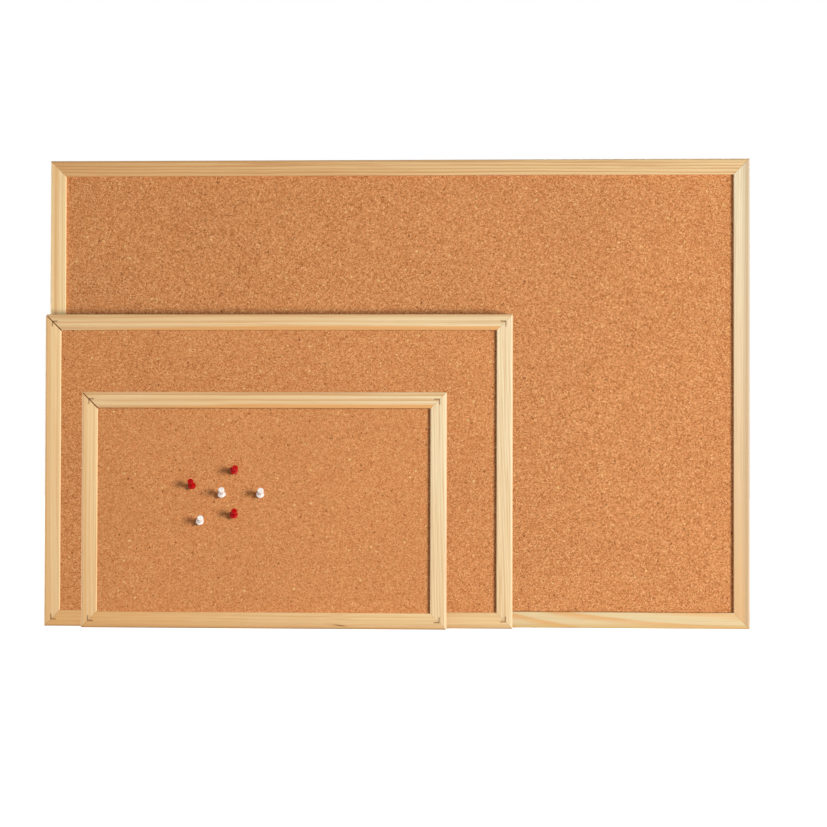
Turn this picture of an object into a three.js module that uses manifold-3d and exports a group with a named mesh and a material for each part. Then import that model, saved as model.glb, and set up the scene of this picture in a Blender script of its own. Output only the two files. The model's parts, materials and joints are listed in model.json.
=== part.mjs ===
// Three framed cork boards, from large to small, that stand face to back on their bottom edges, with
// six push pins in the smallest one. Millimetres, +Z up. The cork faces look along -Y, and the origin
// is the middle of the large board's bottom face.
import * as THREE from "three";
import { mergeVertices } from "three/addons/utils/BufferGeometryUtils.js";
import Module from "manifold-3d";

const wasm = await Module();
wasm.setup();

// Outer sizes of the boards, and how they stand
const largeWidth = 900;
const largeHeight = 600;
const midWidth = 600;
const midHeight = 400;
const smallWidth = 465;
const smallHeight = 300;
const midOverhang = 1.5; // the middle board's left edge stands this far outside the large one's
const smallInset = 50; // from the large board's left edge to the small board's left edge
const boardGap = 0.3; // between the back of one board and the face of the next

// Gaps between pieces of one board
const seatGap = 0.3; // around pieces that are seated, glued or driven in
const cutOverrun = 1; // how far a cutting tool stands out of the surface that it cuts

// Pine moulding, measured on its section. A groove along its inner side holds the panel.
const railWidth = 20.5;
const outerRound = 3; // radius of the front edge on the outside
const innerRound = 1; // radius of the front edge beside the cork
const backRound = 1; // radius of both back edges
const frontLip = 3; // thickness of the wood in front of the groove
const backLip = 3; // thickness of the wood behind it
const grooveDepth = 7;
const mitreGap = 0.3; // closed corner joint
const openMitreGap = 1.2; // corner joint that has opened a little

// Panel inside each frame
const corkThickness = 3;
const backingThickness = 8;

// Steel V nails across the mitres
const vNailInset = 9; // from both outer edges to the nail's vertex
const vNailLeg = 6;
const vNailThickness = 0.4;
const vNailDepth = 6;
const vNailSink = 0.2; // below the surface of the wood

// Sawtooth hangers on the back of the top rails
const hangerLength = 46;
const hangerHeight = 9;
const hangerThickness = 0.8;
const hangerTab = 9; // flat end that is nailed down
const hangerRamp = 2.5; // length of the bend between the end and the raised middle
const hangerRise = 1.2;
const toothPitch = 3;
const toothHeight = 1.8;
const hangerPlaceShare = 0.22; // share of the board's width from each end to a hanger's middle

// Round nails that hold the hangers
const nailLength = 10;
const nailRadius = 0.7;
const nailTip = 1.6;
const nailHeadRadius = 1.8;
const nailHeadThickness = 0.7;

// Push pins: turned plastic grip on a steel needle
const gripLength = 13;
const flangeRadius = 5;
const flangeRim = 0.9; // height of the flange's straight edge
const flangeTop = 3.2; // where the flange has drawn in to the waist
const waistRadius = 2.4;
const waistTop = 7.6; // where the waist begins to flare to the head
const headRadius = 3.8;
const headBottom = 10.4;
const headRound = 0.9; // radius of the head's top edge
const needleRadius = 0.55;
const needleLength = 10; // from the flange to the tip
const needleTip = 3;
const needleSeat = 7; // length of needle inside the grip
const pinGap = 0.3; // between the flange's lowest edge and the cork

// Steps of the round shapes
const roundSteps = 4;
const latheSteps = 20;
const needleSteps = 8;

const mergeTolerance = 1e-4;

// Sizes that follow from those above
const wallWidth = railWidth - grooveDepth; // solid wood outside the groove
const backingBackY = -backLip - seatGap;
const backingFaceY = backingBackY - backingThickness;
const corkBackY = backingFaceY - seatGap;
const corkFaceY = corkBackY - corkThickness;
const railDepth = frontLip + seatGap - corkFaceY;
const tabBackY = seatGap + hangerThickness;
const nailHeadY = tabBackY + seatGap;
const nailTipY = nailHeadY - nailLength;

const pine = { color: 0xe9c893, roughness: 0.55, metalness: 0 };
const cork = { color: 0xd18a54, roughness: 0.95, metalness: 0 };
const fibreboard = { color: 0xa98358, roughness: 0.9, metalness: 0 };
const darkSteel = { color: 0x4a3a2c, roughness: 0.5, metalness: 0.9 };
const zincSteel = { color: 0xb9bcc0, roughness: 0.35, metalness: 0.95 };
const redPlastic = { color: 0xbe0a0f, roughness: 0.22, metalness: 0 };
const whitePlastic = { color: 0xfaf5f0, roughness: 0.22, metalness: 0 };

// Place shares are across and up the small board, at the flange's middle. Leans are degrees away from
// square to the cork, to the right and upwards.
const pins = [
  { name: "red_pin_left", grip: redPlastic, placeShares: [0.305, 0.601], leans: [-3, 30] },
  { name: "red_pin_top", grip: redPlastic, placeShares: [0.42, 0.667], leans: [14, 15.5] },
  { name: "red_pin_bottom", grip: redPlastic, placeShares: [0.42, 0.479], leans: [10, 25] },
  { name: "white_pin_middle", grip: whitePlastic, placeShares: [0.3865, 0.566], leans: [5.5, 29] },
  { name: "white_pin_right", grip: whitePlastic, placeShares: [0.492, 0.566], leans: [9.5, 26] },
  { name: "white_pin_bottom", grip: whitePlastic, placeShares: [0.3265, 0.451], leans: [12.5, 23] },
];

function mesh(name, geometry, finish) {
  const made = new THREE.Mesh(geometry, new THREE.MeshStandardMaterial(finish));
  made.name = name;
  return made;
}

function toSolid(geometry) {
  const bare = geometry.clone();
  bare.deleteAttribute("normal");
  bare.deleteAttribute("uv");
  const merged = mergeVertices(bare, mergeTolerance);
  return new wasm.Manifold(
    new wasm.Mesh({
      numProp: 3,
      vertProperties: merged.attributes.position.array,
      triVerts: new Uint32Array(merged.index.array),
    }),
  );
}

// The geometry less all of the tools.
function cut(geometry, tools) {
  let solid = toSolid(geometry);
  for (const tool of tools) {
    solid = solid.subtract(toSolid(tool));
  }
  const result = solid.getMesh();
  const made = new THREE.BufferGeometry();
  made.setAttribute("position", new THREE.BufferAttribute(result.vertProperties, 3));
  made.setIndex(new THREE.BufferAttribute(result.triVerts, 1));
  return made;
}

// A box between two corners.
function block(low, high) {
  const size = high.clone().sub(low);
  const middle = low.clone().add(high).divideScalar(2);
  return new THREE.BoxGeometry(size.x, size.y, size.z).translate(middle.x, middle.y, middle.z);
}

// A flat plate with its outline in X and Z, from y = 0 forwards to y = -thickness.
function plate(outline, thickness) {
  return new THREE.ExtrudeGeometry(outline, { depth: thickness, bevelEnabled: false }).rotateX(Math.PI / 2);
}

function lathe(profile, steps) {
  return new THREE.LatheGeometry(profile.getPoints(roundSteps), steps);
}

// A rail lies along +X in its own frame, with its outer side down and its face towards -Y. Each rail
// is turned about Y into its place, and starts at the corner that the one before it ends at.
function railPlaces(width, height) {
  const quarter = Math.PI / 2;
  return [
    { side: "bottom", length: width, turn: 0, x: 0, z: 0, ends: ["bottom_left", "bottom_right"] },
    { side: "right", length: height, turn: -quarter, x: width, z: 0, ends: ["bottom_right", "top_right"] },
    { side: "top", length: width, turn: Math.PI, x: width, z: height, ends: ["top_right", "top_left"] },
    { side: "left", length: height, turn: quarter, x: 0, z: height, ends: ["top_left", "bottom_left"] },
  ];
}

// Section of the moulding: across from the outer side, and forwards from the back.
function railProfile() {
  const right = Math.PI / 2;
  const profile = new THREE.Shape();
  profile.absarc(backRound, backRound, backRound, 2 * right, 3 * right, false);
  profile.absarc(railWidth - backRound, backRound, backRound, 3 * right, 4 * right, false);
  profile.lineTo(railWidth, backLip);
  profile.lineTo(wallWidth, backLip);
  profile.lineTo(wallWidth, railDepth - frontLip);
  profile.lineTo(railWidth, railDepth - frontLip);
  profile.absarc(railWidth - innerRound, railDepth - innerRound, innerRound, 0, right, false);
  profile.absarc(outerRound, railDepth - outerRound, outerRound, right, 2 * right, false);
  return profile;
}

// A length of moulding with both ends mitred. A gap is measured square to its joint, and each rail
// gives up half of it.
function mitredRail(length, startGap, endGap) {
  const options = { depth: length, bevelEnabled: false, curveSegments: roundSteps };
  const geometry = new THREE.ExtrudeGeometry(railProfile(), options);
  const along = new THREE.Vector3(1, 0, 0);
  const across = new THREE.Vector3(0, 0, 1);
  const forwards = new THREE.Vector3(0, -1, 0);
  geometry.applyMatrix4(new THREE.Matrix4().makeBasis(across, forwards, along));
  const position = geometry.attributes.position;
  for (let i = 0; i < position.count; i += 1) {
    const fromEdge = position.getZ(i);
    const atStart = position.getX(i) < length / 2;
    const startX = fromEdge + startGap * Math.SQRT1_2;
    const endX = length - fromEdge - endGap * Math.SQRT1_2;
    position.setX(i, atStart ? startX : endX);
  }
  return geometry;
}

// The back end of a board's V nails, which were driven in from its front or from behind.
function vNailBack(nailsInFront) {
  return nailsInFront ? -railDepth + vNailSink + vNailDepth : -vNailSink;
}

function vNail(backY) {
  const half = vNailThickness / 2;
  const outline = new THREE.Shape();
  outline.moveTo(-half, -half);
  outline.lineTo(vNailLeg, -half);
  outline.lineTo(vNailLeg, half);
  outline.lineTo(half, half);
  outline.lineTo(half, vNailLeg);
  outline.lineTo(-half, vNailLeg);
  return plate(outline, vNailDepth).translate(vNailInset, backY, vNailInset);
}

// The slots in one rail for the legs of the V nails at its two ends.
function vNailSlots(length, nailsInFront) {
  const half = vNailThickness / 2 + seatGap;
  const slotStart = vNailInset - half;
  const slotEnd = vNailInset + vNailLeg + seatGap;
  const backY = vNailBack(nailsInFront);
  const from = nailsInFront ? -railDepth - cutOverrun : backY - vNailDepth - seatGap;
  const to = nailsInFront ? backY + seatGap : cutOverrun;
  return [slotStart, length - slotEnd].map((x) =>
    block(
      new THREE.Vector3(x, from, vNailInset - half),
      new THREE.Vector3(x + slotEnd - slotStart, to, vNailInset + half),
    ),
  );
}

// Middle of each hanger along the top rail.
function hangerPlaces(length) {
  return [
    { side: "right", alongX: length * hangerPlaceShare },
    { side: "left", alongX: length * (1 - hangerPlaceShare) },
  ];
}

// The two nails of a hanger stand at the middle of its end tabs.
function hangerNailPlaces(alongX) {
  const reach = (hangerLength - hangerTab) / 2;
  return [
    { end: "first", x: alongX - reach },
    { end: "second", x: alongX + reach },
  ];
}

// A round hole along Y for a hanger nail, between two places in front of and behind the rail's back.
function nailHole(alongX, frontY, backY) {
  const radius = nailRadius + seatGap;
  return new THREE.CylinderGeometry(radius, radius, backY - frontY, needleSteps).translate(
    alongX,
    (frontY + backY) / 2,
    railWidth / 2,
  );
}

// Strip of steel with both ends flat on the wood, a raised middle, and teeth along its lower edge.
function sawtoothHanger(alongX) {
  const halfLength = hangerLength / 2;
  const rampOuter = halfLength - hangerTab;
  const rampInner = rampOuter - hangerRamp;
  const side = new THREE.Shape();
  side.moveTo(-halfLength, 0);
  side.lineTo(-rampOuter, 0);
  side.lineTo(-rampInner, hangerRise);
  side.lineTo(rampInner, hangerRise);
  side.lineTo(rampOuter, 0);
  side.lineTo(halfLength, 0);
  side.lineTo(halfLength, hangerThickness);
  side.lineTo(rampOuter, hangerThickness);
  side.lineTo(rampInner, hangerRise + hangerThickness);
  side.lineTo(-rampInner, hangerRise + hangerThickness);
  side.lineTo(-rampOuter, hangerThickness);
  side.lineTo(-halfLength, hangerThickness);
  const strip = new THREE.ExtrudeGeometry(side, { depth: hangerHeight, bevelEnabled: false });
  strip.translate(alongX, seatGap, (railWidth - hangerHeight) / 2);

  const lowerEdge = (railWidth + hangerHeight) / 2;
  const count = Math.floor((2 * rampInner) / toothPitch);
  const notch = new THREE.Shape();
  notch.moveTo(0, -toothHeight);
  notch.lineTo(toothPitch / 2, cutOverrun);
  notch.lineTo(-toothPitch / 2, cutOverrun);
  const notchDepth = seatGap + hangerRise + hangerThickness + cutOverrun;
  const tools = Array.from({ length: count }, (_, i) => {
    const x = alongX + (i - (count - 1) / 2) * toothPitch;
    return plate(notch, notchDepth).translate(x, notchDepth, lowerEdge);
  });
  for (const { x } of hangerNailPlaces(alongX)) {
    tools.push(nailHole(x, seatGap - cutOverrun, tabBackY + cutOverrun));
  }
  return cut(strip, tools);
}

// A nail points along -Y, with the underside of its head just behind the hanger's tab.
function hangerNail(alongX) {
  const profile = new THREE.Path();
  profile.moveTo(0, -nailLength);
  profile.lineTo(nailRadius, -nailLength + nailTip);
  profile.lineTo(nailRadius, 0);
  profile.lineTo(nailHeadRadius, 0);
  profile.lineTo(nailHeadRadius, nailHeadThickness / 2);
  profile.quadraticCurveTo(nailHeadRadius / 2, nailHeadThickness, 0, nailHeadThickness);
  return lathe(profile, needleSteps).translate(alongX, nailHeadY, railWidth / 2);
}

function railCuts(rail, nailsInFront) {
  const cuts = vNailSlots(rail.length, nailsInFront);
  if (rail.side === "top") {
    for (const hanger of hangerPlaces(rail.length)) {
      for (const { x } of hangerNailPlaces(hanger.alongX)) {
        cuts.push(nailHole(x, nailTipY - seatGap, cutOverrun));
      }
    }
  }
  return cuts;
}

// A sheet that reaches into the grooves all round, between two depths.
function panelSheet(width, height, faceY, backY) {
  const edge = wallWidth + seatGap;
  return block(new THREE.Vector3(edge, faceY, edge), new THREE.Vector3(width - edge, backY, height - edge));
}

function frame({ name, width, height, nailsInFront, cornerGaps }) {
  const group = new THREE.Group();
  for (const rail of railPlaces(width, height)) {
    const turned = new THREE.Group();
    const [start, end] = rail.ends;
    const stock = mitredRail(rail.length, cornerGaps[start], cornerGaps[end]);
    turned.add(mesh(`${name}_${rail.side}_rail`, cut(stock, railCuts(rail, nailsInFront)), pine));
    turned.add(mesh(`${name}_${start}_v_nail`, vNail(vNailBack(nailsInFront)), darkSteel));
    if (rail.side === "top") {
      turned.add(hangers(name, rail));
    }
    turned.rotation.y = rail.turn;
    turned.position.set(rail.x, 0, rail.z);
    group.add(turned);
  }
  return group;
}

function hangers(name, rail) {
  const group = new THREE.Group();
  for (const hanger of hangerPlaces(rail.length)) {
    const label = `${name}_${hanger.side}_hanger`;
    group.add(mesh(label, sawtoothHanger(hanger.alongX), zincSteel));
    for (const { end, x } of hangerNailPlaces(hanger.alongX)) {
      group.add(mesh(`${label}_${end}_nail`, hangerNail(x), zincSteel));
    }
  }
  return group;
}

function board(sizes, holes) {
  const { name, width, height } = sizes;
  const sheet = panelSheet(width, height, corkFaceY, corkBackY);
  const backing = panelSheet(width, height, backingFaceY, backingBackY);
  const group = frame(sizes);
  group.add(mesh(`${name}_cork_sheet`, cut(sheet, holes), cork));
  group.add(mesh(`${name}_backing_board`, cut(backing, holes), fibreboard));
  return group;
}

// Direction in which a pin leaves the cork.
function pinAxis(pin) {
  const [right, up] = pin.leans.map((lean) => Math.tan(THREE.MathUtils.degToRad(lean)));
  return new THREE.Vector3(right, -1, up).normalize();
}

// Middle of the underside of a pin's flange: its lowest edge just clears the cork.
function pinPlace(pin) {
  const slope = Math.sqrt(1 - pinAxis(pin).y ** 2);
  const standOff = flangeRadius * slope + pinGap;
  const [across, up] = pin.placeShares;
  return new THREE.Vector3(smallWidth * across, corkFaceY - standOff, smallHeight * up);
}

// Turns +Y to the pin's axis and moves it to its place.
function pinMatrix(pin) {
  const turn = new THREE.Quaternion().setFromUnitVectors(new THREE.Vector3(0, 1, 0), pinAxis(pin));
  return new THREE.Matrix4().compose(pinPlace(pin), turn, new THREE.Vector3(1, 1, 1));
}

// The hole that a needle leaves in the cork and the backing.
function needleHole(pin) {
  const radius = needleRadius + seatGap;
  const length = needleLength + seatGap;
  return new THREE.CylinderGeometry(radius, radius, length, needleSteps)
    .translate(0, -length / 2, 0)
    .applyMatrix4(pinMatrix(pin));
}

// Turned grip, from the top of its needle bore outwards and up to the middle of its head.
function gripProfile() {
  const bore = needleRadius + seatGap;
  const profile = new THREE.Path();
  profile.moveTo(0, needleSeat + seatGap);
  profile.lineTo(bore, needleSeat + seatGap);
  profile.lineTo(bore, 0);
  profile.lineTo(flangeRadius, 0);
  profile.lineTo(flangeRadius, flangeRim);
  profile.quadraticCurveTo(waistRadius, flangeRim, waistRadius, flangeTop);
  profile.lineTo(waistRadius, waistTop);
  profile.quadraticCurveTo(waistRadius, headBottom, headRadius, headBottom);
  profile.lineTo(headRadius, gripLength - headRound);
  profile.absarc(headRadius - headRound, gripLength - headRound, headRound, 0, Math.PI / 2, false);
  profile.lineTo(0, gripLength);
  return profile;
}

function needleProfile() {
  const profile = new THREE.Path();
  profile.moveTo(0, -needleLength);
  profile.lineTo(needleRadius, -needleLength + needleTip);
  profile.lineTo(needleRadius, needleSeat);
  profile.lineTo(0, needleSeat);
  return profile;
}

function pushPin(pin) {
  const group = new THREE.Group();
  group.add(mesh(`${pin.name}_grip`, lathe(gripProfile(), latheSteps), pin.grip));
  group.add(mesh(`${pin.name}_needle`, lathe(needleProfile(), needleSteps), zincSteel));
  group.quaternion.setFromUnitVectors(new THREE.Vector3(0, 1, 0), pinAxis(pin));
  group.position.copy(pinPlace(pin));
  return group;
}

const closedCorners = {
  bottom_left: mitreGap,
  bottom_right: mitreGap,
  top_right: mitreGap,
  top_left: mitreGap,
};
const openTopLeft = { ...closedCorners, top_left: openMitreGap };

const largeBoard = board(
  { name: "large", width: largeWidth, height: largeHeight, nailsInFront: false, cornerGaps: closedCorners },
  [],
);
const midBoard = board(
  { name: "mid", width: midWidth, height: midHeight, nailsInFront: true, cornerGaps: openTopLeft },
  [],
);
const smallBoard = board(
  { name: "small", width: smallWidth, height: smallHeight, nailsInFront: true, cornerGaps: openTopLeft },
  pins.map(needleHole),
);
for (const pin of pins) {
  smallBoard.add(pushPin(pin));
}

// Each board stands in front of the one before it.
const boardPitch = railDepth + boardGap;
const largeLeft = -largeWidth / 2;
largeBoard.position.set(largeLeft, railDepth / 2, 0);
midBoard.position.set(largeLeft - midOverhang, railDepth / 2 - boardPitch, 0);
smallBoard.position.set(largeLeft + smallInset, railDepth / 2 - 2 * boardPitch, 0);

const corkBoardSet = new THREE.Group();
corkBoardSet.add(largeBoard, midBoard, smallBoard);

export default corkBoardSet;
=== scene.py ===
import json
import math
from dataclasses import dataclass, replace

import bmesh
import bpy
from mathutils import Color, Matrix, Vector

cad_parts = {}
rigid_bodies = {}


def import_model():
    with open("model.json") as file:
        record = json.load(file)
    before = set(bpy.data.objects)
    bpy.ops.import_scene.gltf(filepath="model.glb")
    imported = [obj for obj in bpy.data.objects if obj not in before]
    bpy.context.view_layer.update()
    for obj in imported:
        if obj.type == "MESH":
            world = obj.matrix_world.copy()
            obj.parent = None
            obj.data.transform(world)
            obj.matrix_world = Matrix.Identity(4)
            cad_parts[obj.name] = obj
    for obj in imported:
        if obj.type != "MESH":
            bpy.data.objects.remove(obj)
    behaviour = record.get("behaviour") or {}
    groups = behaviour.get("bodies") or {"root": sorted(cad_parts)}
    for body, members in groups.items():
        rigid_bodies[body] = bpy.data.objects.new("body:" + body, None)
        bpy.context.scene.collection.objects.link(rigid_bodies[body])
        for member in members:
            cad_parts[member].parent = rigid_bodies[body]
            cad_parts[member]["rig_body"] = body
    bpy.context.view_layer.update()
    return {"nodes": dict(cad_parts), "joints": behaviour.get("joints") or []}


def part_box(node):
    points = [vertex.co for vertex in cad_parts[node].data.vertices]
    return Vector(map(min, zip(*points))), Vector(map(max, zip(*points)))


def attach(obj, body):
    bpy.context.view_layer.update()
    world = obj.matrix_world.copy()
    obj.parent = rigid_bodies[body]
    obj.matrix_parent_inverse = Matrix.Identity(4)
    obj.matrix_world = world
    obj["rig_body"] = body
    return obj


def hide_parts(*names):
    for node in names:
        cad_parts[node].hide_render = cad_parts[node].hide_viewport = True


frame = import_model()

MM = 0.001
BOARDS = ("large", "mid", "small")
FRONT_NAILED = ("mid", "small")  # boards whose V nails were driven in from the front

# Pine moulding, the same section as in the CAD model
OUTER_ROUND = 3 * MM
INNER_ROUND = 1 * MM
BACK_ROUND = 1 * MM
LIP = 3 * MM
GROOVE_DEPTH = 7 * MM
MITRE_GAP = 0.12 * MM
OPEN_MITRE_GAP = 1.5 * MM
ARC_STEPS = 8

# V nails and hanger nails
V_NAIL_INSET = 9 * MM
V_NAIL_LEG = 6 * MM
V_NAIL_THICKNESS = 0.4 * MM
V_NAIL_DEPTH = 6 * MM
SLOT_GAP = 0.12 * MM
NAIL_RADIUS = 0.7 * MM
NAIL_TIP = 1.6 * MM
NAIL_HEAD_RADIUS = 1.8 * MM
NAIL_HEAD_THICKNESS = 0.7 * MM
NAIL_DOME_SHARE = 0.55  # of the head's thickness
NAIL_STEPS = 32
NAIL_HOLE_STEPS = 16
CUT_OVERRUN = 1 * MM

# Push pins
GRIP_LENGTH = 13 * MM
FLANGE_RADIUS = 5 * MM
FLANGE_RIM = 0.9 * MM
FLANGE_TOP = 3.2 * MM
FLANGE_RIM_TURN = 70  # degrees that the rim turns before the neck begins
WAIST_RADIUS = 2.4 * MM
WAIST_TOP = 7.6 * MM
HEAD_RADIUS = 3.8 * MM
HEAD_BOTTOM = 10.4 * MM
HEAD_ROUND = 0.9 * MM
HEAD_RIM_TURN = 80  # degrees that the head's lower rim turns
RIM_ROUND = 0.35 * MM
GATE_RADIUS = 1.2 * MM  # dimple of the mould's gate on the head
GATE_DEPTH = 0.9 * MM
GATE_FLOOR_SHARE = 0.75  # of its radius
NEEDLE_RADIUS = 0.55 * MM
NEEDLE_LENGTH = 10 * MM
NEEDLE_TIP = 3 * MM
NEEDLE_POINT_RADIUS = 0.12 * MM
NEEDLE_POINT_LENGTH = 0.25 * MM
NEEDLE_SEAT = 7 * MM
BORE_GAP = 0.05 * MM
SEAT_GAP = 0.1 * MM
UNDERSIDE = 0.1 * MM  # what lies this close to a grip's lowest point is its underside
GRIP_STEPS = 48
NEEDLE_STEPS = 24
RIM_STEPS = 4
HEAD_STEPS = 6
CURVE_STEPS = 8

# Sharp edges are eased by this much, where they turn by more than so many degrees
WOOD_ARRIS = 0.15 * MM
V_NAIL_ARRIS = 0.05 * MM
HANGER_ARRIS = 0.08 * MM
EASED_DEGREES = 40

# Edges that turn by more than so many degrees aren't shaded smooth
WOOD_SHARP_DEGREES = 30
TURNED_SHARP_DEGREES = 50

# Camera at the photograph's viewing angle, for a square image
CAMERA_PLACE = Vector((0.1319, -2.5, 0.23395))
CAMERA_YAW = 0.0443  # radians to the left
CAMERA_PITCH = 0.0158  # radians upwards
CAMERA_ROLL = 0.0026
SENSOR_MM = 36
LENS_MM = 84.65


def rotation(angle, axis):
    return Matrix.Rotation(angle, 4, axis)


def make_camera():
    data = bpy.data.cameras.new("camera")
    data.sensor_width = SENSOR_MM
    data.lens = LENS_MM
    camera = bpy.data.objects.new("camera", data)
    level = rotation(CAMERA_YAW, "Z") @ rotation(math.pi / 2 + CAMERA_PITCH, "X")
    camera.matrix_world = Matrix.Translation(CAMERA_PLACE) @ level @ rotation(CAMERA_ROLL, "Z")
    bpy.context.scene.collection.objects.link(camera)
    bpy.context.scene.camera = camera


make_camera()


NOISE_RANGE = (0.3, 0.7)  # most of a noise lies between these
MIX_COLOUR_A = 6  # sockets of the Mix node for colours
MIX_COLOUR_B = 7
MIX_COLOUR_RESULT = 2


class Graph:
    """The nodes of a new material, or of the world when its tree is given. An input that is a socket
    is linked, and any other value is set."""

    def __init__(self, name, tree=None):
        if tree is None:
            self.material = bpy.data.materials.new(name)
            self.material.use_nodes = True
            tree = self.material.node_tree
        self.tree = tree

    def put(self, socket, value):
        if isinstance(value, bpy.types.NodeSocket):
            self.tree.links.new(value, socket)
        else:
            socket.default_value = value

    def node(self, kind, inputs, output=0, **settings):
        made = self.tree.nodes.new("ShaderNode" + kind)
        for key, value in settings.items():
            setattr(made, key, value)
        for key, value in inputs.items():
            self.put(made.inputs[key], value)
        return made.outputs[output]

    def finish(self, **inputs):
        shader = self.tree.nodes["Principled BSDF"]
        for key, value in inputs.items():
            self.put(shader.inputs[key.replace("_", " ")], value)
        return self.material

    def place(self, stretch=(1, 1, 1), shift=(0, 0, 0)):
        """The object's own coordinates, stretched and then shifted."""
        own = self.node("TexCoord", {}, "Object")
        return self.node("Mapping", {"Vector": own, "Scale": stretch, "Location": shift})

    def apart(self, vector):
        """The vector's outputs X, Y and Z."""
        return self.node("SeparateXYZ", {0: vector}).node.outputs

    def math(self, operation, a, b=0.0):
        return self.node("Math", {0: a, 1: b}, operation=operation)

    def square(self, value):
        return self.math("MULTIPLY", value, value)

    def total(self, first, *others):
        for other in others:
            first = self.math("ADD", first, other)
        return first

    def weigh(self, a, b, share):
        """A share of a, and the rest of b."""
        return self.math("ADD", self.math("MULTIPLY", a, share), self.math("MULTIPLY", b, 1 - share))

    def noise(self, vector, scale, detail=2.0, roughness=0.5, distortion=0.0):
        inputs = {"Vector": vector, "Scale": scale, "Detail": detail, "Roughness": roughness}
        return self.node("TexNoise", {**inputs, "Distortion": distortion})

    def grain(self, waves, shift=(0, 0, 0), **settings):
        """A noise drawn out along X. waves is how many it has in a metre, along and across."""
        along, across = waves
        return self.noise(self.place((along, across, across), shift), 1.0, **settings)

    def cells(self, vector, scale, output="Distance"):
        return self.node("TexVoronoi", {"Vector": vector, "Scale": scale}, output)

    def chances(self, vector, size, channel="Red"):
        """A random value for each cell of this size."""
        return self.node("SeparateColor", {0: self.cells(vector, 1 / size, "Color")}, channel)

    def spread(self, value, low, high, to_low=0.0, to_high=1.0):
        """The value's range from low to high, spread over another range and clamped there."""
        return self.node("MapRange", {0: value, 1: low, 2: high, 3: to_low, 4: to_high})

    def spread_noise(self, noise, to_low, to_high):
        return self.spread(noise, *NOISE_RANGE, to_low, to_high)

    def swing(self, noise, size):
        """The noise as a move to either side, of half the size at most."""
        return self.math("MULTIPLY", self.math("SUBTRACT", noise, 0.5), size)

    def blend(self, factor, a, b, mode="MIX"):
        inputs = {0: factor, MIX_COLOUR_A: a, MIX_COLOUR_B: b}
        return self.node("Mix", inputs, MIX_COLOUR_RESULT, data_type="RGBA", blend_type=mode)

    def tint(self, colour, filter_colour):
        return self.blend(1.0, colour, filter_colour, "MULTIPLY")

    def grey(self, level):
        return self.node("CombineColor", {0: level, 1: level, 2: level})

    def ramp(self, value, stops):
        made = self.tree.nodes.new("ShaderNodeValToRGB")
        elements = made.color_ramp.elements
        while len(elements) < len(stops):
            elements.new(0.5)
        for element, (position, colour) in zip(elements, stops):
            element.position = position
            element.color = colour
        self.put(made.inputs[0], value)
        return made.outputs[0]

    def bump(self, height, distance, strength):
        return self.node("Bump", {"Height": height, "Distance": distance, "Strength": strength})


DISPLAY_WHITE = 255


def rgb(red, green, blue):
    """A colour written in display values from 0 to 255, as the shader's linear values."""
    shown = Color((red / DISPLAY_WHITE, green / DISPLAY_WHITE, blue / DISPLAY_WHITE))
    return (*shown.from_srgb_to_scene_linear(), 1)


def grey_stop(position, level):
    return (position, (level, level, level, 1))


# Colours of the pine, from the palest wood to the dark of a knot. Some also serve as painted shade along
# the rails' outer edges.
PEARL = rgb(236, 221, 186)
IVORY = rgb(239, 218, 176)
CREAM = rgb(235, 213, 168)
BISCUIT = rgb(233, 205, 157)
WHEAT = rgb(223, 201, 154)
OAT = rgb(232, 201, 148)
SUNLIT = rgb(252, 221, 167)
BUTTER = rgb(247, 214, 160)
GOLD = rgb(233, 198, 146)
HONEY = rgb(226, 193, 140)
AMBER = rgb(221, 172, 112)
APRICOT = rgb(225, 164, 98)
FAWN = rgb(210, 180, 140)
TAN = rgb(204, 152, 96)
RUSSET = rgb(196, 140, 84)
# The next two colours are painted shade only, for the outer edges of the large board's bottom and right
# rails
PAINTED_SHADE_CLAY = rgb(206, 166, 100)
PAINTED_SHADE_DUSK = rgb(176, 146, 110)
ORANGE = rgb(200, 140, 76)
BARK = rgb(150, 100, 52)
BROWN = rgb(112, 68, 34)


@dataclass
class Stripe:
    """A stripe along a rail."""

    colour: tuple
    place: float  # across, from the rail's outer edge
    half: float  # half of its width
    fade: float  # how far it fades into the wood beside it
    strength: float
    kept_share: float = 1.0  # of the rail's length, from where on the stripe narrows


@dataclass
class PaintedEdgeShade:
    """A painted shade along a rail's outer edge, darkest at the edge and fading in across the rail."""

    colour: tuple
    width: float
    fade: float
    strength: float


@dataclass
class Figure:
    """The wood of one rail, and the painted shade along its outer edge."""

    early: tuple  # colour of the early wood
    late: tuple  # colour of the late wood
    ring: float  # width of a year's growth
    lines: float  # how strongly the late wood shows
    far: tuple = None  # colour that the early wood turns to towards the far end
    turned_share: float = 1.0  # of the length, by which it has that colour
    start: float = 0.0  # moves the rings across
    slope: float = 0.0  # lets the rings run out of the rail's edge
    sway: float = 12 * MM  # how far the rings wander
    threads: float = 0.45  # how strongly the fine broken streaks show
    stripe: Stripe = None
    # painted shade along the rail's outer edge
    edge: PaintedEdgeShade = None
    arch: tuple = None  # where along the rail the rings arch over, and how steeply
    knot: tuple = None  # place of a small knot, along and across


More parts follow.
